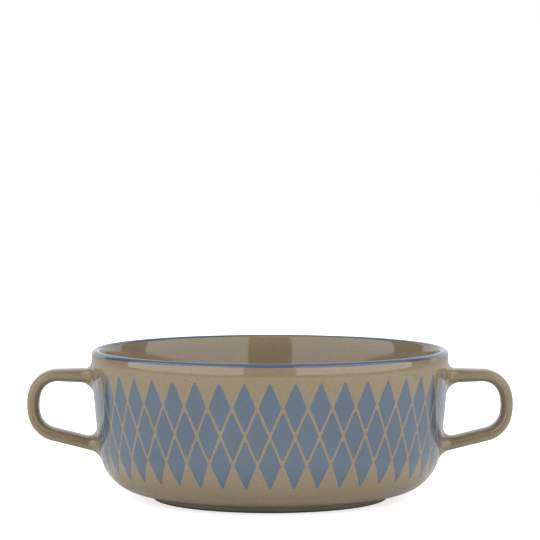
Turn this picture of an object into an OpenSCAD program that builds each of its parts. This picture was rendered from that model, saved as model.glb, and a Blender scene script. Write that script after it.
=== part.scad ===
// Lug soup bowl: a straight-sided stoneware bowl on a foot ring, with two loop handles.
// Millimetres, +Z up. The origin is on the table, under the middle of the foot ring.
// The handles stand out along X. The right one mirrors the left one.

/* [Bowl] */
// Diameter over the widest part of the wall
rim_d = 130; // [126:1:150]
// Height from the table to the top of the lip
bowl_h = 54.4; // [52:0.2:64]
// Thickness of the lip, glaze included
lip_t = 3; // [2.6:0.1:3.4]
// Thickness of the floor above the recess, glaze included
floor_t = 4.8; // [4:0.1:6]
// Radius of the heel, where the underside turns up
heel_r = 15.5; // [13:0.5:17]
// Radius of the side above the heel
side_r = 45; // [38:1:52]
// Radius of the shoulder that leans in to the lip
shoulder_r = 40; // [34:1:46]
// Radius inside, between the floor and the wall
inner_heel_r = 17; // [14:0.5:19]
// Slope of the underside, in degrees from level
underside_a = 8; // [6:1:10]
// Slope at which the heel becomes the side
heel_a = 74; // [70:1:76]
// Slope of the straight wall outside
wall_a = 85; // [84:0.5:86]
// Slope of the straight wall inside
inner_wall_a = 84; // [83:0.5:85]
// Slope at which the shoulder meets the lip
lip_a = 96; // [95:1:100]
// Slope at which the round of the lip becomes the flare inside
flare_a = 71; // [67:1:76]
// Radius of the flare inside, below the lip
flare_r = 14; // [10:1:18]
// Slope of the floor inside, up from its middle
floor_a = 1.5; // [0.5:0.5:3]

/* [Foot ring] */
// Outside diameter of the foot ring
foot_d = 86.4; // [80:0.2:88]
// Width of the foot ring
foot_w = 4.6; // [3.6:0.1:6]
// Height of the foot ring, which is the depth of the recess inside it
foot_h = 2.2; // [1.8:0.1:3]
// Radius of the foot ring's lower edges
foot_edge_r = 0.5; // [0.3:0.1:0.7]
// Height of the bare clay above those edges, where the glaze is wiped off
foot_bare_h = 0.2; // [0.1:0.05:0.4]
// Radius between the recess and the foot ring
recess_r = 1.2; // [0.8:0.1:1.6]

/* [Glaze and print] */
// Thickness of the glaze
glaze_t = 0.4; // [0.3:0.05:0.5]
// Slope on the round of the lip at which the blue rim line starts outside
rim_line_from_a = 102; // [101:1:120]
// Slope on the round of the lip at which the blue rim line ends inside, where 180 is the top
rim_line_to_a = 233; // [220:1:240]
// Thickness of the printed diamonds
print_t = 0.12; // [0.1:0.01:0.2]
// Lowest point of the printed band
print_low = 9; // [8:0.5:12]
// Distance from the top of the lip down to the printed band
print_drop = 5; // [4:0.5:8]
// Diamonds in each row
print_count = 46; // [36:2:52]
// Gap between neighbouring diamonds
print_gap = 0.9; // [0.7:0.1:1.4]
// Bare margin of the print around each handle root
print_margin = 1.2; // [0.8:0.1:2]

/* [Handles] */
// Width over both handles
span = 177.2; // [172:0.2:188]
// Height of the upper bar's middle line
handle_z = 44.7; // [43.7:0.1:45.7]
// Rise of the upper bar, in degrees, going out from the wall
upper_rise = 0.4; // [0:0.1:2]
// Radius of the upper corner, on the middle line
corner_r = 8.7; // [8:0.1:9.5]
// Turn of the upper corner, in degrees
corner_turn = 77; // [74:1:80]
// Radius of the back of the loop, on the middle line
back_r = 18; // [16:0.5:20]
// Turn of the back, in degrees
back_turn = 23.4; // [20:0.2:26]
// Radius of the lower corner, on the middle line
elbow_r = 9.5; // [8.5:0.1:10]
// Turn of the lower corner, in degrees
elbow_turn = 66; // [63:1:69]
// Thickness of the bar at the upper root
upper_t = 5.2; // [4.8:0.1:5.8]
// Thickness of the bar at the upper corner
corner_t = 4.65; // [4.2:0.05:5]
// Thickness of the bar at the back of the loop
back_t = 4.55; // [4:0.05:5]
// Thickness of the lower bar
lower_t = 4.8; // [4.4:0.1:5.4]
// Width of the bar at the back of the loop
bar_w = 10.4; // [8:0.2:12]
// Width of the bar where it nears the wall
root_w = 11.6; // [10:0.2:13]
// Radius of the blend on top of the upper root
upper_top_r = 2.7; // [2.2:0.1:3.4]
// Radius of the blend under the upper root
upper_under_r = 4.7; // [4:0.1:5.6]
// Radius of the blend on top of the lower root
lower_top_r = 4.6; // [3.8:0.1:5.2]
// Radius of the blend under the lower root
lower_under_r = 2; // [1.6:0.1:2.6]
// Radius of the blends beside both roots
root_side_r = 4; // [3:0.1:5]
// Depth at which a blend is cut off, so that it has no feather edge
blend_cut = 0.5; // [0.4:0.05:0.7]

/* [Hidden] */

// Sides of a full turn in a quick view
$fn = 96;

// Colours
glaze_tan = "#93826b";
rim_blue = "#5c7085";
print_blue = "#6b7886";
clay_tan = "#a08a6e";
foot_brown = "#6d5c48";
slip_tan = "#8c7a62";

// Outside of the bowl, as a chain of tangent lines and arcs from the foot to the lip.
// A slope s on the outside has the outward normal out(s) in the plane of radius and height.
function out(s) = [sin(s), -cos(s)];
function along(s) = [cos(s), sin(s)];
rim_r = rim_d / 2;
foot_r = foot_d / 2;
lip_r = lip_t / 2;
chain_det = sin(wall_a - underside_a);
// Lengths of the underside and of the straight wall that together span a rise
function underside_part(rise) = (rise.x * sin(wall_a) - rise.y * cos(wall_a)) / chain_det;
function wall_part(rise) = (rise.y * cos(underside_a) - rise.x * sin(underside_a)) / chain_det;
heel_rise = out(heel_a) - out(underside_a);
without_heel = [
  rim_r - foot_r - side_r * (out(wall_a) - out(heel_a)).x - shoulder_r * (1 - sin(wall_a)),
  bowl_h - lip_r - foot_h - side_r * (out(wall_a) - out(heel_a)).y
    - shoulder_r * (cos(wall_a) - cos(lip_a)) - lip_r * cos(lip_a)
];
// Most of the room between the foot ring and the wall that the heel's arc may take up
heel_room_share = 0.95;
heel_arc_r = min(heel_r, heel_room_share * underside_part(without_heel) / underside_part(heel_rise));
left_to_span = without_heel - heel_arc_r * heel_rise;

heel_start = [foot_r, foot_h] + underside_part(left_to_span) * along(underside_a);
heel_c = heel_start - heel_arc_r * out(underside_a);
side_c = heel_c + (heel_arc_r - side_r) * out(heel_a);
wall_start = side_c + side_r * out(wall_a);
wall_end = wall_start + wall_part(left_to_span) * along(wall_a);
shoulder_c = wall_end - shoulder_r * out(wall_a);
lip_c = shoulder_c + (shoulder_r - lip_r) * out(lip_a);

// Inside of the bowl: floor, arc and a straight wall that runs up to the flare below the lip
flare_c = lip_c + (flare_r - lip_r) * out(flare_a);
inner_wall_end = flare_c - flare_r * out(inner_wall_a);
floor_z = foot_h + floor_t;
inner_gap = inner_wall_end - [0, floor_z] - inner_heel_r * (out(inner_wall_a) - out(floor_a));
inner_det = sin(inner_wall_a - floor_a);
floor_l = (inner_gap.x * sin(inner_wall_a) - inner_gap.y * cos(inner_wall_a)) / inner_det;
inner_heel_c = [0, floor_z] + floor_l * along(floor_a) - inner_heel_r * out(floor_a);

// Steps in each arc
heel_steps = 11;
side_steps = 3;
shoulder_steps = 3;
lip_steps = 8;
inner_heel_steps = 12;
flare_steps = 3;
edge_steps = 4;
// Most of the foot ring's glazed height that the recess corner may take up
recess_share = 0.9;

// A mark is a point of a skin: the centre c of its arc, the radius r, the slope a and the side s of the
// clay, which is 1 outside and on the lip, and -1 inside. Drawing a skin in by inset keeps its marks in line.
function mark(c, r, a, s = 1) = [c, r, a, s];
function marks(c, r, from, to, steps, s = 1) =
  [for (i = [0 : steps]) mark(c, r, from + (to - from) * i / steps, s)];
function rest(list) = [for (i = [1 : len(list) - 1]) list[i]];
function skin(list, inset) = [for (m = list) m[0] + (m[1] - m[3] * inset) * out(m[2])];
function backwards(list) = [for (i = [len(list) - 1 : -1 : 0]) list[i]];

below_line = concat(
  marks(heel_c, heel_arc_r, underside_a, heel_a, heel_steps),
  rest(marks(side_c, side_r, heel_a, wall_a, side_steps)),
  marks(shoulder_c, shoulder_r, wall_a, lip_a, shoulder_steps),
  [mark(lip_c, lip_r, rim_line_from_a)]
);
rim_line = marks(lip_c, lip_r, rim_line_from_a, rim_line_to_a, lip_steps);
inside_line = concat(
  marks(lip_c, lip_r, rim_line_to_a, flare_a + 180, edge_steps),
  rest(marks(flare_c, flare_r, flare_a + 180, inner_wall_a + 180, flare_steps)),
  marks(inner_heel_c, inner_heel_r, inner_wall_a, floor_a, inner_heel_steps, -1)
);
function floor_middle(inset) = [0, floor_z - inset / cos(floor_a)];

// The foot ring's outer side, drawn in by inset, and the height at which it meets the underside
function foot_side(inset) = foot_r - inset;
function foot_top(inset) = foot_h + inset * (1 - sin(underside_a)) / cos(underside_a);

// The recess inside the foot ring, grown by grow: a round corner under a level top
glaze_line = foot_edge_r + foot_bare_h;
recess_side = foot_r - foot_w;
recess_round = min(recess_r, recess_share * (foot_h - glaze_line));
recess_c = [recess_side - recess_round, foot_h - recess_round];
function recess_corner(grow, from, to) =
  [for (i = [0 : edge_steps]) recess_c + (recess_round + grow) * along(from + (to - from) * i / edge_steps)];
// Angle of the corner at which the body's clay becomes the foot ring's
recess_split = asin(recess_round / (recess_round + glaze_t));

// Turns a section round the axis, with the seam at the back, away from the handles
module turned(points) {
  rotate([0, 0, -90]) rotate_extrude() polygon(points);
}

module bowl_body() {
  color(clay_tan) turned(concat(
    [[0, foot_h + glaze_t]],
    backwards(recess_corner(glaze_t, recess_split, 90)),
    [[foot_side(glaze_t), foot_h], [foot_side(glaze_t), foot_top(glaze_t)]],
    skin(below_line, glaze_t), rest(skin(rim_line, glaze_t)), rest(skin(inside_line, glaze_t)),
    [floor_middle(glaze_t)]
  ));
}

// The foot ring below the body, with its lower edges rounded and its sides set back for the glaze
module foot_ring() {
  outer = foot_side(glaze_t);
  inner = recess_side + glaze_t;
  function edge(c, from) =
    [for (i = [0 : edge_steps]) [c, foot_edge_r] + foot_edge_r * along(from + 90 * i / edge_steps)];
  color(foot_brown) turned(concat(
    edge(inner + foot_edge_r, 180), edge(outer - foot_edge_r, 270),
    [[outer, foot_h]],
    backwards(recess_corner(glaze_t, 0, recess_split))
  ));
}

module outer_glaze() {
  color(glaze_tan) difference() {
    turned(concat(
      [[foot_side(glaze_t), glaze_line], [foot_side(0), glaze_line], [foot_side(0), foot_top(0)]],
      skin(below_line, 0), backwards(skin(below_line, glaze_t)),
      [[foot_side(glaze_t), foot_top(glaze_t)]]
    ));
    for (side = [0, 1]) mirror([side, 0, 0]) {
      root_prism(upper_root, -glaze_t);
      root_prism(lower_root, -glaze_t);
    }
  }
}

module inner_glaze() {
  color(glaze_tan) turned(concat(
    skin(inside_line, 0), [floor_middle(0), floor_middle(glaze_t)], backwards(skin(inside_line, glaze_t))
  ));
}

module base_glaze() {
  color(glaze_tan) turned(concat(
    [[0, foot_h]], backwards(recess_corner(0, 0, 90)), [[recess_side, glaze_line]],
    [[recess_side + glaze_t, glaze_line]], recess_corner(glaze_t, 0, 90), [[0, foot_h + glaze_t]]
  ));
}

module rim_band() {
  color(rim_blue) turned(concat(skin(rim_line, 0), backwards(skin(rim_line, glaze_t))));
}

// Printed band: three rows of diamonds, nested like a harlequin, each row half a step round from the next
print_high = bowl_h - print_drop;
cell_h = (print_high - print_low) / 2;
cell_w = PI * rim_d / print_count;
diamond_share = 1 - print_gap * norm([cell_w, cell_h]) / (cell_w * cell_h);
diamond_w = cell_w * diamond_share;
diamond_h = cell_h * diamond_share;
print_step = 360 / print_count;
// How far round the middle row is set, as a share of a step
nested_share = 0.5;

module diamond_row(z, shift) {
  color(print_blue) difference() {
    intersection() {
      turned(concat(skin(below_line, -print_t), backwards(skin(below_line, 0))));
      for (i = [0 : print_count - 1])
        rotate([0, 0, (i + shift) * print_step])
          translate([0, -foot_r, z]) rotate([90, 0, 0]) linear_extrude(rim_r)
            polygon([[-diamond_w / 2, 0], [0, -diamond_h / 2], [diamond_w / 2, 0], [0, diamond_h / 2]]);
    }
    for (side = [0, 1]) mirror([side, 0, 0]) {
      root_prism(upper_root, print_margin);
      root_prism(lower_root, print_margin);
    }
  }
}

module upper_diamonds() { diamond_row(print_high - cell_h / 2, 0); }
module middle_diamonds() { diamond_row((print_high + print_low) / 2, nested_share); }
module lower_diamonds() { diamond_row(print_low + cell_h / 2, 0); }

// Handles. The middle line of the left one runs in the plane of X and Z: out along the upper bar,
// round the corner, down the back, round the elbow and in along the lower bar.
// A heading h has the unit step along(h), and out(h) points away from the finger gap.
heading_out = 180 - upper_rise;
heading_back = heading_out + corner_turn;
heading_elbow = heading_back + back_turn;
heading_in = heading_elbow + elbow_turn;
loop_reach = corner_r * (sin(heading_out) - sin(heading_back)) + back_r * (sin(heading_back) + 1);
// The bar thickens evenly along the back, and has this thickness where the loop is widest
elbow_start_t = 2 * back_t - corner_t;
widest_t = corner_t + (elbow_start_t - corner_t) * (270 - heading_back) / back_turn;
// The bends and root blends are as named, or smaller where the loop has less room outside the wall
loop_depth = (span - widest_t) / 2 - rim_r;
bends_room_share = 0.7;
bends_share = min(1, bends_room_share * loop_depth / loop_reach);
bar_run = loop_depth - bends_share * loop_reach;
blends_share = min(1, bar_run / max(upper_top_r, upper_under_r, root_side_r));
corner_start = [-rim_r - bar_run, handle_z];
corner_c = corner_start - bends_share * corner_r * out(heading_out);
back_c = corner_c + bends_share * (corner_r - back_r) * out(heading_back);
elbow_c = back_c + bends_share * (back_r - elbow_r) * out(heading_elbow);
elbow_end = elbow_c + bends_share * elbow_r * out(heading_in);

// Sides of the bar, and rings in each bend
bar_sides = 24;
corner_rings = 8;
back_rings = 3;
elbow_rings = 7;
// Distances of a root's rings from the wall, as shares of its largest blend, from inside the wall out
root_ring_shares = [-0.08, 0.08, 0.17, 0.3, 0.5, 0.75, 1];
// How oval the bar is: 2 is an ellipse, more is squarer
oval_power = 2.8;

function oval(v) = sign(v) * pow(abs(v), 2 / oval_power);

// Radius of the outer skin at a height
function skin_r(z) =
  z < heel_start.y ? foot_r + (z - foot_h) / tan(underside_a) :
  z < (heel_c + heel_arc_r * out(heel_a)).y ? heel_c.x + sqrt(heel_arc_r ^ 2 - (heel_c.y - z) ^ 2) :
  z < wall_start.y ? side_c.x + sqrt(side_r ^ 2 - (side_c.y - z) ^ 2) :
  z < wall_end.y ? wall_start.x + (z - wall_start.y) / tan(wall_a) :
  shoulder_c.x + sqrt(shoulder_r ^ 2 - (shoulder_c.y - z) ^ 2);
function wall_distance(p) = norm([p.x, p.y]) - skin_r(p.z);

// How far a blend of radius r stands out from the bar at a distance d from the wall
function blend(r, d) = r - sqrt(r ^ 2 - max(r - max(d, 0) - blend_cut, 0) ^ 2);

// A root is: a point of the middle line, the heading away from the wall, the direction away from the
// finger gap, the bar's thickness, and the blend radii away from and towards the gap
upper_root = [corner_start, along(heading_out), out(heading_out), upper_t,
  blends_share * upper_top_r, blends_share * upper_under_r];
lower_root = [elbow_end, -along(heading_in), out(heading_in), lower_t,
  blends_share * lower_under_r, blends_share * lower_top_r];
side_blend_r = blends_share * root_side_r;
function root_reach(root) = max(root[4], root[5], side_blend_r);

// Blend radius round the bar: the root's own two radii, eased into the side radius
function blend_r(root, a) = side_blend_r + (root[cos(a) > 0 ? 4 : 5] - side_blend_r) * cos(a) ^ 2;

// Slides a point along the bar until it is d from the wall
function slid(p, step, d, tries = 6) =
  tries == 0 ? p : slid(p + step * (d - wall_distance(p)), step, d, tries - 1);

// A point of a root's skin, drawn in by inset, at angle a round the bar and d from the wall
function root_point(root, inset, a, d) =
  let (
    grow = blend(blend_r(root, a), d + inset) - inset,
    off = (root[3] / 2 + grow) * oval(cos(a)) * root[2],
    y = (root_w / 2 + grow) * oval(sin(a)),
    p = [root[0].x + off.x, y, root[0].y + off.y]
  ) slid(p, [root[1].x, 0, root[1].y], d);
function root_ring(root, inset, d) =
  [for (i = [0 : bar_sides - 1]) root_point(root, inset, 360 * i / bar_sides, d)];

// A ring of the plain bar round the point c, with the heading h
function bar_ring(c, h, t, w, inset) = [
  for (i = [0 : bar_sides - 1])
    let (a = 360 * i / bar_sides, off = (t / 2 - inset) * oval(cos(a)) * out(h))
      [c.x + off.x, (w / 2 - inset) * oval(sin(a)), c.y + off.y]
];

// Rings of a bend round c, without its first one, while the thickness and width change evenly
function bend_rings(c, r, from, to, t, w, rings, inset) = [
  for (i = [1 : rings])
    let (k = i / rings, h = from + (to - from) * k)
      bar_ring(c + r * out(h), h, t[0] + (t[1] - t[0]) * k, w[0] + (w[1] - w[0]) * k, inset)
];

// All the rings of the left handle's skin, drawn in by inset
near_w = (root_w + bar_w) / 2;
function handle_rings(inset) = concat(
  [for (s = root_ring_shares) root_ring(upper_root, inset, s * root_reach(upper_root))],
  [bar_ring(corner_start, heading_out, corner_t, near_w, inset)],
  bend_rings(corner_c, bends_share * corner_r, heading_out, heading_back,
    [corner_t, corner_t], [near_w, bar_w], corner_rings, inset),
  bend_rings(back_c, bends_share * back_r, heading_back, heading_elbow,
    [corner_t, elbow_start_t], [bar_w, bar_w], back_rings, inset),
  bend_rings(elbow_c, bends_share * elbow_r, heading_elbow, heading_in,
    [elbow_start_t, lower_t], [bar_w, near_w], elbow_rings, inset),
  [for (s = backwards(root_ring_shares)) root_ring(lower_root, inset, s * root_reach(lower_root))]
);

// Triangles between two rings of n points that start at the indices a and b
function band_faces(a, b, n) = [
  for (i = [0 : n - 1]) let (j = (i + 1) % n)
    each [[a + i, b + i, b + j], [a + i, b + j, a + j]]
];

// A closed solid through a list of rings
module ring_solid(rings) {
  n = len(rings[0]);
  last = len(rings) - 1;
  ends = n * len(rings);
  points = concat([for (ring = rings) each ring], [centroid(rings[0]), centroid(rings[last])]);
  polyhedron(points, concat(
    [for (k = [0 : last - 1]) each band_faces(k * n, (k + 1) * n, n)],
    [for (i = [0 : n - 1]) [ends, i, (i + 1) % n]],
    [for (i = [0 : n - 1]) [ends + 1, last * n + (i + 1) % n, last * n + i]]
  ));
}

// A tube between an outer and an inner list of rings, open at both ends
module ring_tube(outer, inner) {
  n = len(outer[0]);
  last = len(outer) - 1;
  core = n * len(outer);
  polyhedron([for (ring = concat(outer, inner)) each ring], concat(
    [for (k = [0 : last - 1]) each band_faces(k * n, (k + 1) * n, n)],
    [for (k = [0 : last - 1]) each band_faces(core + (k + 1) * n, core + k * n, n)],
    band_faces(core, 0, n),
    band_faces(last * n, core + last * n, n)
  ));
}
function centroid(ring) = [for (i = [0 : len(ring) - 1]) 1] * ring / len(ring);

// Everything inside the outer skin, drawn in by inset
module bowl_solid(inset) {
  turned(concat([[0, 0], [foot_side(inset), 0], [foot_side(inset), foot_top(inset)]],
    skin(below_line, inset), [[0, skin(below_line, inset)[len(below_line) - 1].y]]));
}

// A root's outline on the skin, grown by grow and run through the wall along X
module root_prism(root, grow) {
  rotate([90, 0, -90]) linear_extrude(span / 2)
    polygon([for (p = root_ring(root, -grow, 0)) [-p.y, p.z]]);
}

module handle() {
  color(clay_tan) difference() {
    ring_solid(handle_rings(glaze_t));
    bowl_solid(0);
  }
}

module handle_glaze() {
  color(glaze_tan) difference() {
    ring_tube(handle_rings(0), handle_rings(glaze_t));
    bowl_solid(0);
  }
}

// The slip that fills the gap in the glaze between a handle's root and the clay of the wall
module slip(root) {
  color(slip_tan) intersection() {
    turned(concat(skin(below_line, 0), backwards(skin(below_line, glaze_t))));
    root_prism(root, -glaze_t);
  }
}

module left_handle() { handle(); }
module right_handle() { mirror([1, 0, 0]) handle(); }
module left_handle_glaze() { handle_glaze(); }
module right_handle_glaze() { mirror([1, 0, 0]) handle_glaze(); }
module left_upper_slip() { slip(upper_root); }
module left_lower_slip() { slip(lower_root); }
module right_upper_slip() { mirror([1, 0, 0]) slip(upper_root); }
module right_lower_slip() { mirror([1, 0, 0]) slip(lower_root); }

bowl_body();
foot_ring();
inner_glaze();
outer_glaze();
base_glaze();
rim_band();
upper_diamonds();
middle_diamonds();
lower_diamonds();
left_handle();
right_handle();
left_handle_glaze();
right_handle_glaze();
left_upper_slip();
left_lower_slip();
right_upper_slip();
right_lower_slip();
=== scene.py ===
"""Looks of the lug soup bowl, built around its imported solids.

The bowl's lengths are in millimetres and become metres in mesh_piece(). The studio's are in metres.
Angles are in degrees, apart from a place round the bowl or round a bar, which is in radians.
"""
import math

import bpy
import numpy as np
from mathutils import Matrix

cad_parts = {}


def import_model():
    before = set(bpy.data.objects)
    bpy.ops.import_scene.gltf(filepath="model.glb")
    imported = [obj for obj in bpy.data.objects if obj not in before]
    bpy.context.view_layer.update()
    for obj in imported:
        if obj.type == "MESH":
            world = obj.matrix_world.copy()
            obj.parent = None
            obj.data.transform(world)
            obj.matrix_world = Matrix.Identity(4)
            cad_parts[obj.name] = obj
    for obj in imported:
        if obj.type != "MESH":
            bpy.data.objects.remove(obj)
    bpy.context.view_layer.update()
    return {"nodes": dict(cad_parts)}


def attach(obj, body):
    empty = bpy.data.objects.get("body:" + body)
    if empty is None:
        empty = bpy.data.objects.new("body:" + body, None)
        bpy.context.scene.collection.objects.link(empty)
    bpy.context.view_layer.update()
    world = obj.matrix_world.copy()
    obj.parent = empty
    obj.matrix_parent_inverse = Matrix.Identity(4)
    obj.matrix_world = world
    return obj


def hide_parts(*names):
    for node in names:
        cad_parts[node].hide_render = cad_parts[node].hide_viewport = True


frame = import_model()
MM = 0.001

# Bowl, as in the solids, and a hair lower, so that the lip stays inside the solids' box
RIM_R = 65
BOWL_H = 54.396
LIP_T = 3
FLOOR_T = 4.8
HEEL_R = 15.5
SIDE_R = 45
SHOULDER_R = 40
INNER_HEEL_R = 17
UNDERSIDE_A = 8
HEEL_A = 74
WALL_A = 85
INNER_WALL_A = 84
LIP_A = 96
FLARE_A = 71
FLARE_R = 14
FLOOR_A = 1.5

# Foot ring, as in the solids
FOOT_R = 43.2
FOOT_W = 4.6
FOOT_H = 2.2
FOOT_EDGE_R = 0.5
GLAZE_LINE = 0.7
RECESS_R = 1.2

# Glaze and print
GLAZE_T = 0.4
RIM_LINE_FROM_A = 100
RIM_LINE_TO_A = 233
RIM_LINE_WANDER = 3.5
RIM_LINE_WAVES = ((5, -1.4, 1), (13, 2, 0.5), (29, 0, 0.4))
RIM_LINE_TURN = 1
RIM_LINE_INNER_WAVES = ((1, -1.57, 2), (2, 1.57, 2.3))
LINE_OVERLAP = 18
COAT_STEP = 0.02
PRINT_SUNK = 0.1
PRINT_LOW = 9
PRINT_HIGH = 49.4
PRINT_COUNT = 46
PRINT_GAP = 0.9
PRINT_CORNER_R = 0.45

# Handles, as in the solids, and a hair narrower for the same reason. Only here the bar's ridges lie
# outwards of its middle, by a share of half its thickness.
SPAN = 177.14
HANDLE_Z = 44.7
UPPER_RISE = 0.4
CORNER_R = 8.7
CORNER_TURN = 77
BACK_R = 18
BACK_TURN = 23.4
ELBOW_R = 9.5
ELBOW_TURN = 66
UPPER_T = 5.2
CORNER_T = 4.65
BACK_T = 4.55
LOWER_T = 4.8
BAR_W = 10.4
ROOT_W = 11.6
UPPER_TOP_R = 2.7
UPPER_UNDER_R = 4.7
LOWER_TOP_R = 4.6
LOWER_UNDER_R = 2
ROOT_SIDE_R = 4
OVAL_POWER = 2.6
RIDGE_OUT = 0.3
ROOT_SUNK = 0.3

# Fineness of the meshes: sizes of a step, and counts
TURNS = 256
ARC_STEP = 2.5
LINE_STEP = 1.2
FOOT_SIDE_STEP = 0.3
EDGE_STEPS = 8
LINE_STEPS = 40
TIP_STEPS = 5
DIAMOND_SIDE_STEPS = 8
RING_SHARES = (1, 0.96, 0.9, 0.82, 0.74, 0.65, 0.55, 0.43, 0.29, 0.15)
BAR_SIDES = 64
BEND_STEP = 4
ROOT_STEPS = 14
UPPER_BAR_STEPS = 5
LOWER_BAR_STEPS = 6
SLIDES = 12
SHARP_A = 50
AXIS_R = 1e-6


def out(slope):
    """Outward normal of a wall with this slope, in radius and height."""
    a = math.radians(slope)
    return np.array([math.sin(a), -math.cos(a)])


def along(slope):
    a = math.radians(slope)
    return np.array([math.cos(a), math.sin(a)])


def arc(centre, r, start, end):
    steps = max(2, math.ceil(abs(end - start) / ARC_STEP))
    return [centre + r * out(start + (end - start) * i / steps) for i in range(steps + 1)]


def crossing(gap, first, second):
    """Lengths along two slopes that together span a gap."""
    det = math.sin(math.radians(second - first))
    a, b = along(first), along(second)
    return (gap[0] * b[1] - gap[1] * b[0]) / det, (gap[1] * a[0] - gap[0] * a[1]) / det


class Bowl:
    """The bowl's outline: tangent arcs and lines, as in the solids."""

    lip_r = LIP_T / 2
    arcs = HEEL_R * (out(HEEL_A) - out(UNDERSIDE_A)) + SIDE_R * (out(WALL_A) - out(HEEL_A))
    gap = np.array([
        RIM_R - FOOT_R - SHOULDER_R * (1 - out(WALL_A)[0]),
        BOWL_H - lip_r - FOOT_H + SHOULDER_R * (out(WALL_A) - out(LIP_A))[1] + lip_r * out(LIP_A)[1],
    ]) - arcs
    underside_l, wall_l = crossing(gap, UNDERSIDE_A, WALL_A)
    heel_start = np.array([FOOT_R, FOOT_H]) + underside_l * along(UNDERSIDE_A)
    heel_c = heel_start - HEEL_R * out(UNDERSIDE_A)
    side_c = heel_c + (HEEL_R - SIDE_R) * out(HEEL_A)
    wall_start = side_c + SIDE_R * out(WALL_A)
    wall_end = wall_start + wall_l * along(WALL_A)
    shoulder_c = wall_end - SHOULDER_R * out(WALL_A)
    lip_c = shoulder_c + (SHOULDER_R - lip_r) * out(LIP_A)

    floor_z = FOOT_H + FLOOR_T
    floor = np.array([0, floor_z])
    flare_c = lip_c + (FLARE_R - lip_r) * out(FLARE_A)
    inner_gap = flare_c - FLARE_R * out(INNER_WALL_A) - floor
    inner_gap = inner_gap - INNER_HEEL_R * (out(INNER_WALL_A) - out(FLOOR_A))
    floor_l = crossing(inner_gap, FLOOR_A, INNER_WALL_A)[0]
    inner_heel_c = floor + floor_l * along(FLOOR_A) - INNER_HEEL_R * out(FLOOR_A)


def line(start, end, step=LINE_STEP):
    """Points from start to end, close enough for the ripples of the glaze."""
    count = max(1, math.ceil(np.linalg.norm(end - start) / step))
    return [start + (end - start) * i / count for i in range(count + 1)]


def outer_skin(proud):
    """Outline from the foot ring's side up to under the blue line on the lip."""
    b = Bowl
    corner = np.array([FOOT_R + proud, FOOT_H + proud * (math.sin(math.radians(UNDERSIDE_A)) - 1)
                       / math.cos(math.radians(UNDERSIDE_A))])
    points = line(corner, b.heel_c + (HEEL_R + proud) * out(UNDERSIDE_A))
    points += arc(b.heel_c, HEEL_R + proud, UNDERSIDE_A, HEEL_A)[1:]
    points += arc(b.side_c, SIDE_R + proud, HEEL_A, WALL_A)[1:]
    points += line(points[-1], b.shoulder_c + (SHOULDER_R + proud) * out(WALL_A))[1:]
    points += arc(b.shoulder_c, SHOULDER_R + proud, WALL_A, LIP_A)[1:]
    points += arc(b.lip_c, b.lip_r + proud, LIP_A, RIM_LINE_FROM_A + LINE_OVERLAP)[1:]
    return points


def inner_skin(proud):
    """Outline from under the blue line on the lip down to the middle of the floor."""
    b = Bowl
    points = arc(b.lip_c, b.lip_r + proud, RIM_LINE_TO_A - LINE_OVERLAP, FLARE_A + 180)
    points += arc(b.flare_c, FLARE_R + proud, FLARE_A + 180, INNER_WALL_A + 180)[1:]
    points += line(points[-1], b.inner_heel_c + (INNER_HEEL_R - proud) * out(INNER_WALL_A))[1:]
    points += arc(b.inner_heel_c, INNER_HEEL_R - proud, INNER_WALL_A, FLOOR_A)[1:]
    points += line(points[-1], b.floor + np.array([0, proud]))[1:]
    return points


def rounded(corner, r, start, end, steps=EDGE_STEPS):
    """Part of a small circle, given by directions and not by slopes."""
    return [corner + r * along(start + (end - start) * i / steps) for i in range(steps + 1)]


def wall_radius(z):
    """Radius of the outer skin at a height, and the slope there."""
    b = Bowl
    heel_top = (b.heel_c + HEEL_R * out(HEEL_A))[1]
    if z < b.heel_start[1]:
        return FOOT_R + (z - FOOT_H) / math.tan(math.radians(UNDERSIDE_A)), UNDERSIDE_A
    if b.wall_start[1] <= z <= b.wall_end[1]:
        return b.wall_start[0] + (z - b.wall_start[1]) / math.tan(math.radians(WALL_A)), WALL_A
    if z < heel_top:
        centre, r = b.heel_c, HEEL_R
    elif z < b.wall_start[1]:
        centre, r = b.side_c, SIDE_R
    else:
        centre, r = b.shoulder_c, SHOULDER_R
    down = max(-1.0, min(1.0, (centre[1] - z) / r))
    return centre[0] + r * math.sqrt(1 - down * down), math.degrees(math.acos(down))


def wall_distance(p):
    return math.hypot(p[0], p[1]) - wall_radius(p[2])[0]


def mesh_piece(name, points, faces, material, replaced, slot, flat_faces=()):
    """Makes a smooth mesh piece from points in millimetres, riding on the bowl."""
    mesh = bpy.data.meshes.new(name)
    mesh.from_pydata((np.asarray(points, float) * MM).tolist(), [], faces)
    mesh.validate()
    mesh.polygons.foreach_set("use_smooth", [True] * len(mesh.polygons))
    for i in flat_faces:
        mesh.polygons[i].use_smooth = False
    mesh.materials.append(material)
    piece = bpy.data.objects.new(name, mesh)
    bpy.context.scene.collection.objects.link(piece)
    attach(piece, "root")
    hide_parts(*replaced)
    return piece


def sharpen(piece, angle=SHARP_A):
    """Marks the edges that turn more than an angle as sharp, so that they shade crisply."""
    piece.data.set_sharp_from_angle(angle=math.radians(angle))
    return piece


def lathe(section):
    """Turns a closed section round the axis."""
    return turned(lambda a: section)


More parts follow.
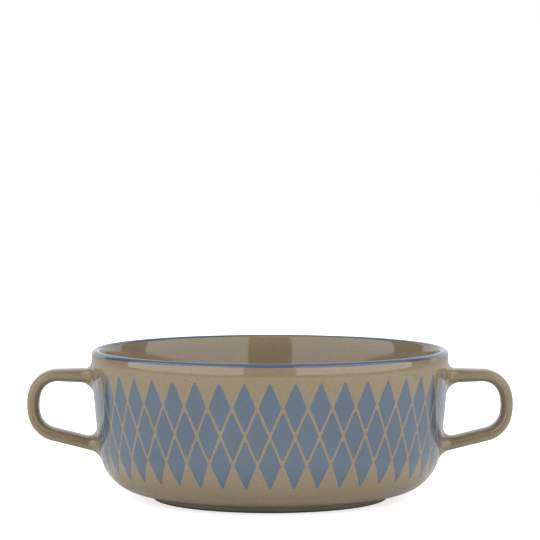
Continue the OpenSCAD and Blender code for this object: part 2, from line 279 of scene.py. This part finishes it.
def turned(section_at):
    """Turns a closed section that may change on its way round. Its points on the axis are shared."""
    turns = [2 * math.pi * i / TURNS for i in range(TURNS)]
    sections = [section_at(a) for a in turns]
    points, rows = [], []
    for k, (first_r, first_z) in enumerate(sections[0]):
        if first_r < AXIS_R:
            rows.append([len(points)] * TURNS)
            points.append((0, 0, first_z))
            continue
        rows.append(range(len(points), len(points) + TURNS))
        for a, section in zip(turns, sections):
            r, z = section[k]
            points.append((r * math.cos(a), r * math.sin(a), z))
    faces = []
    for k in range(len(rows)):
        low, high = rows[k], rows[(k + 1) % len(rows)]
        for i in range(TURNS):
            j = (i + 1) % TURNS
            corners = []
            for c in (low[i], low[j], high[j], high[i]):
                if c not in corners:
                    corners.append(c)
            if len(corners) > 2:
                faces.append(corners)
    return points, faces


# Materials. All patterns follow the object's own coordinates, so that they run on from piece to piece.

def new_material(name):
    material = bpy.data.materials.new(name)
    material.use_nodes = True
    nodes, links = material.node_tree.nodes, material.node_tree.links
    return material, nodes, links, nodes["Principled BSDF"]


def noise(nodes, links, coordinates, scale, detail=2.0, roughness=0.5):
    node = nodes.new("ShaderNodeTexNoise")
    node.inputs["Scale"].default_value = scale
    node.inputs["Detail"].default_value = detail
    node.inputs["Roughness"].default_value = roughness
    links.new(coordinates.outputs["Object"], node.inputs["Vector"])
    return node.outputs["Fac"]


def mapped(nodes, links, value, low, high, to_low, to_high):
    """Value, taken from one range to another and held at its ends."""
    node = nodes.new("ShaderNodeMapRange")
    for name, number in (("From Min", low), ("From Max", high), ("To Min", to_low), ("To Max", to_high)):
        node.inputs[name].default_value = number
    links.new(value, node.inputs["Value"])
    return node.outputs["Result"]


def mixed(nodes, links, factor, a, b, blend="MIX"):
    """Mixes a and b, each a colour or a socket, by a factor, which is a number or a socket."""
    node = nodes.new("ShaderNodeMix")
    node.data_type = "RGBA"
    node.blend_type = blend
    for socket, value in ((node.inputs[0], factor), (node.inputs[6], a), (node.inputs[7], b)):
        if isinstance(value, bpy.types.NodeSocket):
            links.new(value, socket)
        elif isinstance(value, (int, float)):
            socket.default_value = value
        else:
            socket.default_value = (*value, 1)
    return node.outputs[2]


def combined(nodes, links, operation, *values):
    """What an operation makes of one or two values, each a number or a socket."""
    node = nodes.new("ShaderNodeMath")
    node.operation = operation
    for socket, value in zip(node.inputs, values):
        if isinstance(value, bpy.types.NodeSocket):
            links.new(value, socket)
        else:
            socket.default_value = value
    return node.outputs[0]


def specks(nodes, links, coordinates, cells, size, share):
    """Small round specks: one in a share of the cells, at most size of a cell across."""
    node = nodes.new("ShaderNodeTexVoronoi")
    node.inputs["Scale"].default_value = cells
    links.new(coordinates.outputs["Object"], node.inputs["Vector"])
    near = mapped(nodes, links, node.outputs["Distance"], size * SPECK_CORE, size, 1, 0)
    chosen = mapped(nodes, links, node.outputs["Color"], 1 - share, 1 - share + SPECK_CHOICE_BLUR, 0, 1)
    return combined(nodes, links, "MULTIPLY", near, chosen)


def bumped(nodes, links, shader, height, strength, depth):
    """Gives the shader a relief of a depth in millimetres."""
    bump = nodes.new("ShaderNodeBump")
    bump.inputs["Strength"].default_value = strength
    bump.inputs["Distance"].default_value = depth * MM
    links.new(height, bump.inputs["Height"])
    links.new(bump.outputs[0], shader.inputs["Normal"])


def tint(colour, factor):
    return tuple(min(1, c * factor) for c in colour)


# Noises are given by scale, detail and roughness, specks by cells a metre, size and share of the cells.

NOISE_RANGE = (0.3, 0.7)
SPECK_CORE = 0.5
SPECK_CHOICE_BLUR = 0.02
IRON = (0.045, 0.034, 0.024)

CLOUDS = (55, 3)
CLOUD_TINTS = (0.97, 1.03)
GRAIN = (1900, 2, 0.6)
GLAZE_SPECKS = (620, 0.2, 0.12)
HALO_SHARE = 0.6
GLAZE_IOR = 1.52
WET = (300, 2)
WET_ROUGHNESS = (0.06, 0.085)
RIPPLES = (70, 1)
RIPPLE_STRENGTH = 1.0
RIPPLE_DEPTH = 0.05

SAND = (2600, 4, 0.7)
SAND_TINTS = (0.8, 1.15)
STAINS = (90, 3)
STAIN_RANGE = (0.45, 0.75)
STAIN_SHARE = 0.5
STAIN_TINT = 0.7
CLAY_SPECKS = (900, 0.3, 0.2)
CLAY_SPECK_SHARE = 0.6
CLAY_ROUGHNESS = 0.78
SAND_STRENGTH = 0.7
SAND_DEPTH = 0.03


def fired(name, colour, grain, speck_share, halo=None, specular=0.5):
    """A glossy fired coat: fine grain, slow clouding, iron specks and a slightly uneven skin."""
    material, nodes, links, shader = new_material(name)
    coordinates = nodes.new("ShaderNodeTexCoord")
    cloud = mapped(nodes, links, noise(nodes, links, coordinates, *CLOUDS), *NOISE_RANGE, 0, 1)
    base = mixed(nodes, links, cloud, *(tint(colour, share) for share in CLOUD_TINTS))
    fine = noise(nodes, links, coordinates, *GRAIN)
    shade = mapped(nodes, links, fine, *NOISE_RANGE, 1 - grain, 1 + grain)
    grey = nodes.new("ShaderNodeCombineColor")
    for socket in grey.inputs[:3]:
        links.new(shade, socket)
    base = mixed(nodes, links, 1.0, base, grey.outputs[0], "MULTIPLY")
    dark = specks(nodes, links, coordinates, *GLAZE_SPECKS)
    base = mixed(nodes, links, combined(nodes, links, "MULTIPLY", dark, speck_share), base, IRON)
    if halo:
        edge = nodes.new("ShaderNodeAttribute")
        edge.attribute_name = "edge"
        rim = combined(nodes, links, "MULTIPLY", edge.outputs["Fac"], HALO_SHARE)
        base = mixed(nodes, links, rim, base, halo)
    links.new(base, shader.inputs["Base Color"])
    shader.inputs["IOR"].default_value = GLAZE_IOR
    shader.inputs["Specular IOR Level"].default_value = specular
    wet = mapped(nodes, links, noise(nodes, links, coordinates, *WET), *NOISE_RANGE, *WET_ROUGHNESS)
    links.new(wet, shader.inputs["Roughness"])
    bumped(nodes, links, shader, noise(nodes, links, coordinates, *RIPPLES), RIPPLE_STRENGTH, RIPPLE_DEPTH)
    return material


def bare_clay(name, colour):
    """Unglazed stoneware: matt, sandy and speckled."""
    material, nodes, links, shader = new_material(name)
    coordinates = nodes.new("ShaderNodeTexCoord")
    sand = noise(nodes, links, coordinates, *SAND)
    grains = mapped(nodes, links, sand, *NOISE_RANGE, 0, 1)
    base = mixed(nodes, links, grains, *(tint(colour, share) for share in SAND_TINTS))
    stain = mapped(nodes, links, noise(nodes, links, coordinates, *STAINS), *STAIN_RANGE, 0, STAIN_SHARE)
    base = mixed(nodes, links, stain, base, tint(colour, STAIN_TINT))
    dark = specks(nodes, links, coordinates, *CLAY_SPECKS)
    base = mixed(nodes, links, combined(nodes, links, "MULTIPLY", dark, CLAY_SPECK_SHARE), base, IRON)
    links.new(base, shader.inputs["Base Color"])
    shader.inputs["Roughness"].default_value = CLAY_ROUGHNESS
    bumped(nodes, links, shader, sand, SAND_STRENGTH, SAND_DEPTH)
    return material


GLAZE_TAN = (0.231, 0.178, 0.110)
# The inside has the same tan glaze as the outside, painted a little lighter: painted light on the inside.
INNER_TAN_PAINTED_LIGHTER = (0.238, 0.187, 0.119)
RIM_BLUE = (0.060, 0.096, 0.154)
PRINT_BLUE = (0.081, 0.113, 0.158)
HALO_BLUE = (0.108, 0.152, 0.225)
FOOT_CLAY = (0.10, 0.075, 0.05)
CLAY = (0.32, 0.25, 0.17)
TAN_GRAIN = 0.1
TAN_SPECKS = 0.55

glaze = fired("tan_glaze", GLAZE_TAN, TAN_GRAIN, TAN_SPECKS)
# Inside: the tan glaze painted a little lighter, standing in for light.
inner_glaze = fired("inner_tan_glaze_painted_lighter", INNER_TAN_PAINTED_LIGHTER, TAN_GRAIN, TAN_SPECKS, specular=0.45)
handle_glaze = fired("handle_tan_glaze", GLAZE_TAN, TAN_GRAIN, TAN_SPECKS)
rim_blue = fired("rim_blue_glaze", RIM_BLUE, grain=0.06, speck_share=0.3)
print_blue = fired("print_blue_glaze", PRINT_BLUE, grain=0.08, speck_share=0.5, halo=HALO_BLUE)
foot_clay = bare_clay("bare_foot_clay", FOOT_CLAY)
clay = bare_clay("fired_clay", CLAY)


def outer_coat():
    """The glaze outside, from its edge on the foot ring up to the lip."""
    skin = outer_skin(0)
    section = line(np.array([FOOT_R, GLAZE_LINE]), skin[0], FOOT_SIDE_STEP)[:-1] + skin \
        + outer_skin(-GLAZE_T)[::-1] + [np.array([FOOT_R - GLAZE_T, GLAZE_LINE])]
    piece = mesh_piece("outer_glaze_coat", *lathe(section), glaze, ["outer_glaze"], "glaze")
    return sharpen(piece)


def inner_coat():
    """The glaze inside, from the lip down to the floor."""
    section = inner_skin(0) + inner_skin(-GLAZE_T)[::-1]
    piece = mesh_piece("inner_glaze_coat", *lathe(section), inner_glaze, ["inner_glaze"], "glaze")
    return sharpen(piece)


def recess(grow):
    """Outline of the recess under the bowl, from its middle out and down its side."""
    side = FOOT_R - FOOT_W
    centre = np.array([side - RECESS_R, FOOT_H - RECESS_R])
    return line(np.array([0, FOOT_H + grow]), centre + (RECESS_R + grow) * along(90)) \
        + rounded(centre, RECESS_R + grow, 90, 0)[1:]


def base_coat():
    """The glaze in the recess under the bowl."""
    side = FOOT_R - FOOT_W
    section = recess(0) + [np.array([side, GLAZE_LINE]), np.array([side + GLAZE_T, GLAZE_LINE])] \
        + recess(GLAZE_T)[::-1]
    piece = mesh_piece("base_glaze_coat", *lathe(section), glaze, ["base_glaze"], "glaze")
    return sharpen(piece)


def foot_ring():
    """The bare ring that the bowl stands on."""
    outer = FOOT_R - GLAZE_T
    inner = FOOT_R - FOOT_W + GLAZE_T
    low = np.array([inner + FOOT_EDGE_R, FOOT_EDGE_R])
    high = np.array([outer - FOOT_EDGE_R, FOOT_EDGE_R])
    section = rounded(low, FOOT_EDGE_R, 180, 270) + rounded(high, FOOT_EDGE_R, 270, 360) \
        + [np.array([outer, FOOT_H]), np.array([inner, FOOT_H])]
    piece = mesh_piece("bare_foot_ring", *lathe(section), foot_clay, ["foot_ring"], "bare_foot")
    return sharpen(piece)


def rim_line():
    """The brushed blue line over the lip. Its two edges wander a little, the inner one more slowly too."""
    def wander(a, waves):
        return RIM_LINE_WANDER * sum(share * math.sin(count * a + start) for count, start, share in waves)

    def section_at(a):
        first = RIM_LINE_FROM_A + wander(a, RIM_LINE_WAVES)
        last = RIM_LINE_TO_A + wander(a + RIM_LINE_TURN, RIM_LINE_WAVES) + wander(a, RIM_LINE_INNER_WAVES)
        slopes = [first + (last - first) * i / LINE_STEPS for i in range(LINE_STEPS + 1)]
        return [Bowl.lip_c + (Bowl.lip_r + COAT_STEP * out(s)[0] ** 2) * out(s) for s in slopes] \
            + [Bowl.lip_c + (Bowl.lip_r - GLAZE_T) * out(s) for s in slopes[::-1]]

    return sharpen(mesh_piece("blue_rim_line", *turned(section_at), rim_blue, ["rim_band"], "rim_blue"))


def diamond_outline(w, h, r):
    """Points round a diamond whose corners are rounded to r, as across and up."""
    corners = [np.array(c, float) for c in ((w / 2, 0), (0, h / 2), (-w / 2, 0), (0, -h / 2))]
    corner_steps, side_steps = TIP_STEPS, DIAMOND_SIDE_STEPS
    points = []
    for k, corner in enumerate(corners):
        before, after = corners[k - 1] - corner, corners[(k + 1) % 4] - corner
        before, after = before / np.linalg.norm(before), after / np.linalg.norm(after)
        half = math.acos(float(before @ after)) / 2
        middle = (before + after) / np.linalg.norm(before + after)
        centre = corner + middle * r / math.sin(half)
        turn = math.pi - 2 * half
        start = math.atan2(-middle[1], -middle[0]) - turn / 2
        bend = [centre + r * np.array([math.cos(start + turn * i / corner_steps),
                                       math.sin(start + turn * i / corner_steps)])
                for i in range(corner_steps + 1)]
        if points:
            points += [points[-1] + (bend[0] - points[-1]) * i / side_steps for i in range(1, side_steps)]
        points += bend
    points += [points[-1] + (points[0] - points[-1]) * i / side_steps for i in range(1, side_steps)]
    return points


def on_wall(x, z, turn, proud):
    """A point of the print: x round the wall at its widest, z up, and how far it stands proud."""
    r, slope = wall_radius(z)
    n = out(slope)
    a = turn + x / RIM_R - math.pi / 2
    r, z = r + n[0] * proud, z + n[1] * proud
    return (r * math.cos(a), r * math.sin(a), z)


def diamond_mesh(z, turn, w, h, points, faces, flat, edge):
    """Adds one diamond of the print, a thin tile that follows the wall."""
    outline = diamond_outline(w, h, PRINT_CORNER_R)
    n = len(outline)
    start = len(points)
    for proud in (COAT_STEP, -PRINT_SUNK):
        for share in RING_SHARES:
            for x, up in outline:
                points.append(on_wall(x * share, z + up * share, turn, proud))
                edge.append(1.0 if share == 1 else 0.0)
        points.append(on_wall(0, z, turn, proud))
        edge.append(0.0)
    half = n * len(RING_SHARES) + 1
    for side, flip in ((0, False), (1, True)):
        first = start + side * half
        for k in range(len(RING_SHARES) - 1):
            for i in range(n):
                j = (i + 1) % n
                f = [first + k * n + i, first + k * n + j, first + (k + 1) * n + j, first + (k + 1) * n + i]
                faces.append(f[::-1] if flip else f)
        last = first + (len(RING_SHARES) - 1) * n
        for i in range(n):
            f = [last + i, last + (i + 1) % n, first + half - 1]
            faces.append(f[::-1] if flip else f)
    for i in range(n):
        j = (i + 1) % n
        flat.append(len(faces))
        faces.append([start + j, start + i, start + half + i, start + half + j])


def diamond_row(name, node, z, shift):
    """A row of the print, its middle at z and turned by a share of a diamond's width."""
    cell_w = 2 * math.pi * RIM_R / PRINT_COUNT
    cell_h = (PRINT_HIGH - PRINT_LOW) / 2
    share = 1 - PRINT_GAP * math.hypot(cell_w, cell_h) / (cell_w * cell_h)
    points, faces, flat, edge = [], [], [], []
    for i in range(PRINT_COUNT):
        turn = 2 * math.pi * (i + shift) / PRINT_COUNT
        diamond_mesh(z, turn, cell_w * share, cell_h * share, points, faces, flat, edge)
    piece = mesh_piece(name, points, faces, print_blue, [node], "print_blue", flat)
    attribute = piece.data.attributes.new("edge", "FLOAT", "POINT")
    attribute.data.foreach_set("value", edge)
    return piece


class Loop:
    """The middle line of the left handle, as in the solids, in X and Z.

    A heading h runs along the line from the upper root to the lower one, and out(h) points away from
    the finger gap.
    """

    heading_out = 180 - UPPER_RISE
    heading_back = heading_out + CORNER_TURN
    heading_elbow = heading_back + BACK_TURN
    heading_in = heading_elbow + ELBOW_TURN
    reach = CORNER_R * (out(heading_out) - out(heading_back))[0] + BACK_R * (out(heading_back)[0] + 1)
    elbow_start_t = 2 * BACK_T - CORNER_T
    widest_t = CORNER_T + (elbow_start_t - CORNER_T) * (270 - heading_back) / BACK_TURN
    corner_start = np.array([-(SPAN - widest_t) / 2 + reach, HANDLE_Z])
    corner_c = corner_start - CORNER_R * out(heading_out)
    back_c = corner_c + (CORNER_R - BACK_R) * out(heading_back)
    elbow_c = back_c + (BACK_R - ELBOW_R) * out(heading_elbow)
    elbow_end = elbow_c + ELBOW_R * out(heading_in)
    near_w = (ROOT_W + BAR_W) / 2


def oval(v):
    """A sine or cosine, bent so that the bar's section comes out between an ellipse and a box."""
    return math.copysign(abs(v) ** (2 / OVAL_POWER), v)


def across(a):
    """Place of the bar's skin at a, from -1 at the finger gap to 1 away from it."""
    v = oval(math.cos(a))
    return v + RIDGE_OUT * (1 - abs(v))


def angles():
    return [2 * math.pi * i / BAR_SIDES for i in range(BAR_SIDES)]


def slid(p, step, d):
    """p slid along the bar until it is d from the wall."""
    for _ in range(SLIDES):
        p = p + step * (d - wall_distance(p))
    return p


def root_rings(middle, heading, away, t, r_away, r_gap, inset):
    """Rings of a root from inside the wall out to the plain bar, flaring out to meet the wall."""
    step = np.array([heading[0], 0, heading[1]])
    rings = []
    for k in range(-1, ROOT_STEPS + 1):
        flare = math.radians(90 * (1 - max(k, 0) / ROOT_STEPS))
        ring = []
        for a in angles():
            r = ROOT_SIDE_R + ((r_away if math.cos(a) > 0 else r_gap) - ROOT_SIDE_R) * math.cos(a) ** 2
            grow = r * (1 - math.cos(flare)) - inset * math.cos(flare)
            d = r * (1 - math.sin(flare)) - inset * math.sin(flare)
            if k < 0:
                d -= ROOT_SUNK
            off = (t / 2 + grow) * across(a) * away
            y = (ROOT_W / 2 + grow) * oval(math.sin(a))
            ring.append(slid(np.array([middle[0] + off[0], y, middle[1] + off[1]]), step, d))
        rings.append(ring)
    return rings


def bar_ring(centre, h, t, w, inset):
    """A ring of the plain bar, drawn in by inset."""
    ring = []
    for a in angles():
        off = (t / 2 - inset) * across(a) * out(h)
        y = (w / 2 - inset) * oval(math.sin(a))
        ring.append(np.array([centre[0] + off[0], y, centre[1] + off[1]]))
    return ring


def bend(centre, r, start, end, t, w, inset):
    """Rings of a bend, without its first one, while thickness and width change evenly."""
    steps = math.ceil(abs(end - start) / BEND_STEP)
    rings = []
    for i in range(1, steps + 1):
        k = i / steps
        h = start + (end - start) * k
        thick, wide = t[0] + (t[1] - t[0]) * k, w[0] + (w[1] - w[0]) * k
        rings.append(bar_ring(centre + r * out(h), h, thick, wide, inset))
    return rings


def evenly(first, second, count):
    """The rings between two rings, for a straight run in a count of steps."""
    return [[p + (q - p) * i / count for p, q in zip(first, second)] for i in range(1, count)]


def handle_rings(inset):
    """All rings of a handle from the upper root to the lower one."""
    loop = Loop
    upper = root_rings(loop.corner_start, along(loop.heading_out), out(loop.heading_out),
                       UPPER_T, UPPER_TOP_R, UPPER_UNDER_R, inset)
    lower = root_rings(loop.elbow_end, -along(loop.heading_in), out(loop.heading_in),
                       LOWER_T, LOWER_UNDER_R, LOWER_TOP_R, inset)[::-1]
    start = bar_ring(loop.corner_start, loop.heading_out, CORNER_T, loop.near_w, inset)
    corner = bend(loop.corner_c, CORNER_R, loop.heading_out, loop.heading_back,
                  (CORNER_T, CORNER_T), (loop.near_w, BAR_W), inset)
    back = bend(loop.back_c, BACK_R, loop.heading_back, loop.heading_elbow,
                (CORNER_T, loop.elbow_start_t), (BAR_W, BAR_W), inset)
    elbow = bend(loop.elbow_c, ELBOW_R, loop.heading_elbow, loop.heading_in,
                 (loop.elbow_start_t, LOWER_T), (BAR_W, loop.near_w), inset)
    return upper + evenly(upper[-1], start, UPPER_BAR_STEPS) + [start] + corner + back + elbow \
        + evenly(elbow[-1], lower[0], LOWER_BAR_STEPS) + lower


def handle(name, node, side):
    """A handle's coat: its outer skin, and its inner skin a glaze's thickness within."""
    rings = handle_rings(0) + handle_rings(GLAZE_T)[::-1]
    points = [(side * p[0], p[1], p[2]) for ring in rings for p in ring]
    n, faces = BAR_SIDES, []
    for k in range(len(rings)):
        a, b = k * n, ((k + 1) % len(rings)) * n
        for i in range(n):
            j = (i + 1) % n
            f = [a + i, b + i, b + j, a + j]
            faces.append(f if side > 0 else f[::-1])
    return sharpen(mesh_piece(name, points, faces, handle_glaze, [node], "glaze"))


def dress_hidden_clay():
    """The clay and the slip lie under the glaze. They keep their solids and get clay."""
    for name in ("bowl_body", "left_handle", "right_handle",
                 "left_upper_slip", "left_lower_slip", "right_upper_slip", "right_lower_slip"):
        node = frame["nodes"][name]
        node.data.materials.clear()
        node.data.materials.append(clay)


# Studio, in metres

CAMERA_BACK = 1.0228
CAMERA_UP = 0.14071
CAMERA_PITCH = 3.2295
CAMERA_NEAR = 0.01
CAMERA_FAR = 50
FOCAL_PX = 2815.9
IMAGE_PX = 540
SENSOR_MM = 36

PANEL_NEAR_A = 16
PANEL_FAR_A = 100
PANEL_DISTANCE = 1.2
PANEL_LOW = 0.04
PANEL_HIGH = 1.1
PANEL_RADIANCE = 2.3

TABLE_FRONT = -1.25
TABLE_SIDE = 3
TABLE_BACK = 3
TABLE_WHITE = 0.88
TABLE_ROUGHNESS = 0.9
TABLE_SPECULAR = 0.1
PAPER = (400, 3)
PAPER_TINT = 0.99
# Lift of the table to the camera, smaller near the bowl: painted shade round it.
PAINTED_SHADE_REACH = (0.05, 0.3)
TABLE_GLOW = (0.7, 1.0)
# Painted glow of the table, seen only in reflections: a painted pool of light before the bowl, painted
# shade behind it and near its foot.
PAINTED_GLOW_FRONT = 0.6
PAINTED_GLOW_FAR = 0.25
PAINTED_GLOW_BEHIND = 0
PAINTED_GLOW_RISE = (0.058, 0.098)
PAINTED_GLOW_FALL = (0.17, 0.45)
PAINTED_GLOW_TURN = (-0.06, 0.06)
PAINTED_GLOW_SIDE = (0.07, 0.1)
# A painted dark strip in that glow, before the bowl between the two soft boxes, from this distance out.
PAINTED_SLIT_REACH = (0.12, 0.25)
PAINTED_SLIT_BLUR = 0.03

BACKDROP_HALF_A = 51
BACKDROP_TURN = 3
BACKDROP_BLUR = 0.015
BACKDROP_LEVEL = 1.0
WORLD_FRONT = 0.05
WORLD_TOP = 0.5
WORLD_TOP_Z = (0.5, 0.8)


def camera():
    """The camera fitted to the photo: before the bowl, and looking a little down on it."""
    data = bpy.data.cameras.new("camera")
    data.sensor_width = SENSOR_MM
    data.lens = FOCAL_PX / IMAGE_PX * SENSOR_MM
    data.clip_start = CAMERA_NEAR
    data.clip_end = CAMERA_FAR
    cam = bpy.data.objects.new("camera", data)
    cam.location = (0, -CAMERA_BACK, CAMERA_UP)
    cam.rotation_euler = (math.radians(90 - CAMERA_PITCH), 0, 0)
    bpy.context.scene.collection.objects.link(cam)
    bpy.context.scene.camera = cam


def any_ray(nodes, links, path, *kinds):
    """1 for a ray of any of these kinds."""
    seen = path.outputs[kinds[0]]
    for kind in kinds[1:]:
        seen = combined(nodes, links, "MAXIMUM", seen, path.outputs[kind])
    return seen


def table_painted_glow(nodes, links, place, away):
    """Painted glow of the table, seen only in the glaze: a painted pool of light before the bowl, weaker
    beside it and further off, painted shade behind it and close to its foot, and a painted dark strip
    before the bowl between the two soft boxes."""
    aside = combined(nodes, links, "ABSOLUTE", place.outputs["X"])
    painted_glow = mapped(nodes, links, away, *PAINTED_GLOW_RISE, 0, PAINTED_GLOW_FRONT)
    for limit in (mapped(nodes, links, away, *PAINTED_GLOW_FALL, PAINTED_GLOW_FRONT, PAINTED_GLOW_FAR),
                  mapped(nodes, links, place.outputs["Y"], *PAINTED_GLOW_TURN, PAINTED_GLOW_FRONT, PAINTED_GLOW_BEHIND),
                  mapped(nodes, links, aside, *PAINTED_GLOW_SIDE, PAINTED_GLOW_FRONT, PAINTED_GLOW_FAR)):
        painted_glow = combined(nodes, links, "MINIMUM", painted_glow, limit)
    slope = math.tan(math.radians(PANEL_NEAR_A))
    off_strip = combined(nodes, links, "ADD", aside,
                         combined(nodes, links, "MULTIPLY", place.outputs["Y"], slope))
    outside = mapped(nodes, links, off_strip, -PAINTED_SLIT_BLUR, PAINTED_SLIT_BLUR, 0, 1)
    nearby = mapped(nodes, links, away, *PAINTED_SLIT_REACH, 1, 0)
    glow_kept = combined(nodes, links, "MAXIMUM", outside, nearby)
    return combined(nodes, links, "MULTIPLY", painted_glow, glow_kept)


def table_material():
    """White table. To the camera it is lifted to white, less so near the bowl, which paints shade round it,
    and it keeps the bowl's shadow. In the glaze it shows a painted glow.
    """
    material, nodes, links, shader = new_material("white_table")
    coordinates = nodes.new("ShaderNodeTexCoord")
    paper = mapped(nodes, links, noise(nodes, links, coordinates, *PAPER), *NOISE_RANGE, 0, 1)
    tone = mixed(nodes, links, paper, (TABLE_WHITE * PAPER_TINT,) * 3, (TABLE_WHITE,) * 3)
    links.new(tone, shader.inputs["Base Color"])
    shader.inputs["Roughness"].default_value = TABLE_ROUGHNESS
    shader.inputs["Specular IOR Level"].default_value = TABLE_SPECULAR
    length = nodes.new("ShaderNodeVectorMath")
    length.operation = "LENGTH"
    links.new(coordinates.outputs["Object"], length.inputs[0])
    away = length.outputs["Value"]
    place = nodes.new("ShaderNodeSeparateXYZ")
    links.new(coordinates.outputs["Object"], place.inputs[0])
    path = nodes.new("ShaderNodeLightPath")
    strength = nodes.new("ShaderNodeMix")
    links.new(path.outputs["Is Camera Ray"], strength.inputs[0])
    # In reflections the table glows in a painted pattern, though it is no lamp.
    links.new(table_painted_glow(nodes, links, place, away), strength.inputs[2])
    # To the camera the lift grows with distance from the bowl: painted shade on the floor near it, over its
    # real shadow.
    links.new(mapped(nodes, links, away, *PAINTED_SHADE_REACH, *TABLE_GLOW), strength.inputs[3])
    lift = nodes.new("ShaderNodeEmission")
    links.new(strength.outputs[0], lift.inputs["Strength"])
    both = nodes.new("ShaderNodeAddShader")
    links.new(shader.outputs[0], both.inputs[0])
    links.new(lift.outputs[0], both.inputs[1])
    choice = nodes.new("ShaderNodeMixShader")
    seen = any_ray(nodes, links, path, "Is Camera Ray", "Is Glossy Ray", "Is Transmission Ray")
    links.new(seen, choice.inputs[0])
    links.new(shader.outputs[0], choice.inputs[1])
    links.new(both.outputs[0], choice.inputs[2])
    links.new(choice.outputs[0], nodes["Material Output"].inputs["Surface"])
    return material


def table():
    """A pale floor that ends just behind the camera."""
    corners = [(-TABLE_SIDE, TABLE_FRONT, 0), (TABLE_SIDE, TABLE_FRONT, 0),
               (TABLE_SIDE, TABLE_BACK, 0), (-TABLE_SIDE, TABLE_BACK, 0)]
    mesh = bpy.data.meshes.new("table")
    mesh.from_pydata(corners, [], [list(range(len(corners)))])
    mesh.materials.append(table_material())
    sheet = bpy.data.objects.new("table", mesh)
    bpy.context.scene.collection.objects.link(sheet)


def panel(name, side):
    """A tall soft box beside the camera, from near the camera's line round to the bowl's side."""
    near, far = (np.array([side * math.sin(a), -math.cos(a)]) * PANEL_DISTANCE
                 for a in (math.radians(PANEL_NEAR_A), math.radians(PANEL_FAR_A)))
    middle = (near + far) / 2
    data = bpy.data.lights.new(name, "AREA")
    data.shape = "RECTANGLE"
    data.size = float(np.linalg.norm(far - near))
    data.size_y = PANEL_HIGH - PANEL_LOW
    data.energy = PANEL_RADIANCE * math.pi * data.size * data.size_y
    light = bpy.data.objects.new(name, data)
    light.location = (middle[0], middle[1], (PANEL_HIGH + PANEL_LOW) / 2)
    light.rotation_euler = (math.radians(90), 0, math.atan2(-middle[0], middle[1]) + math.pi)
    bpy.context.scene.collection.objects.link(light)


def world():
    """White behind the bowl, grey above it, dim in front of it, and white to the camera all round."""
    made = bpy.data.worlds.new("studio")
    bpy.context.scene.world = made
    made.use_nodes = True
    nodes, links = made.node_tree.nodes, made.node_tree.links
    background = nodes["Background"]
    background.inputs["Color"].default_value = (1, 1, 1, 1)
    coordinates = nodes.new("ShaderNodeTexCoord")
    split = nodes.new("ShaderNodeSeparateXYZ")
    links.new(coordinates.outputs["Generated"], split.inputs[0])
    turn = math.radians(BACKDROP_TURN)
    facing = nodes.new("ShaderNodeVectorMath")
    facing.operation = "DOT_PRODUCT"
    facing.inputs[1].default_value = (math.sin(turn), math.cos(turn), 0)
    links.new(coordinates.outputs["Generated"], facing.inputs[0])
    edge = math.cos(math.radians(BACKDROP_HALF_A))
    behind = mapped(nodes, links, facing.outputs["Value"],
                    edge - BACKDROP_BLUR, edge + BACKDROP_BLUR, 0, BACKDROP_LEVEL)
    above = mapped(nodes, links, split.outputs["Z"], *WORLD_TOP_Z, WORLD_FRONT, WORLD_TOP)
    path = nodes.new("ShaderNodeLightPath")
    level = any_ray(nodes, links, path, "Is Camera Ray", "Is Transmission Ray")
    for part in (behind, above):
        level = combined(nodes, links, "MAXIMUM", level, part)
    links.new(level, background.inputs["Strength"])


def build():
    """All pieces of the dressed bowl."""
    outer_coat()
    inner_coat()
    base_coat()
    foot_ring()
    rim_line()
    cell_h = (PRINT_HIGH - PRINT_LOW) / 2
    diamond_row("upper_printed_diamonds", "upper_diamonds", PRINT_HIGH - cell_h / 2, 0)
    diamond_row("middle_printed_diamonds", "middle_diamonds", (PRINT_HIGH + PRINT_LOW) / 2, 0.5)
    diamond_row("lower_printed_diamonds", "lower_diamonds", PRINT_LOW + cell_h / 2, 0)
    handle("left_handle_coat", "left_handle_glaze", 1)
    handle("right_handle_coat", "right_handle_glaze", -1)
    dress_hidden_clay()


bpy.context.scene.view_settings.view_transform = "Standard"
camera()
world()
table()
panel("left_panel", -1)
panel("right_panel", 1)
build()
